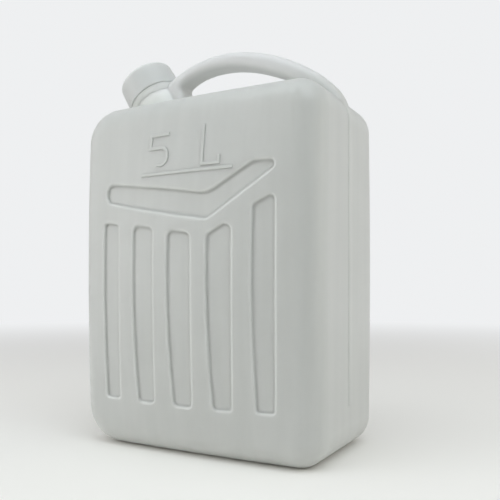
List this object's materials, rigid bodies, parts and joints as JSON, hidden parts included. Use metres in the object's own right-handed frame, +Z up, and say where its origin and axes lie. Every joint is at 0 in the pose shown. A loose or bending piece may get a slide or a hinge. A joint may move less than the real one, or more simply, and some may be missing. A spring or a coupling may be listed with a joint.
{
  "type": "plastic jerrycan",
  "caption": "Upright blow-moulded plastic jerrycan with fluted broad faces, an integral hollow carrying handle and a tilted screw-capped neck for storing and pouring liquids.",
  "frame": {"origin": "centre of the flat base, on the ground", "axes": "+Z up, +X towards the side away from the neck, the marked front face looks towards -Y"},
  "size_m": [0.1971, 0.1368, 0.3009],
  "materials": {
    "can_body": "satin natural white polyethylene, slightly translucent",
    "screw_cap": "satin white polyethylene",
    "cap_liner": "matte white foamed polyethylene"
  },
  "bodies": {
    "can": {"can_body": "can_body"},
    "liner": {"cap_liner": "cap_liner"},
    "cap": {"screw_cap": "screw_cap"}
  },
  "joints": [
    {"name": "cap_lift", "type": "slide", "parent": "can", "child": "liner", "axis": [-0.524, 0, 0.8517], "range_m": [0, 0.01801]},
    {"name": "cap_turn", "type": "hinge", "parent": "liner", "child": "cap", "pos_m": [-0.06898, 0, 0.27184], "axis": [-0.524, 0, 0.8517], "range_deg": [0, 1080]}
  ],
  "couplings": [
    {"joint": "cap_lift", "follows": "cap_turn", "m_per_rad": 0.00095493}
  ]
}
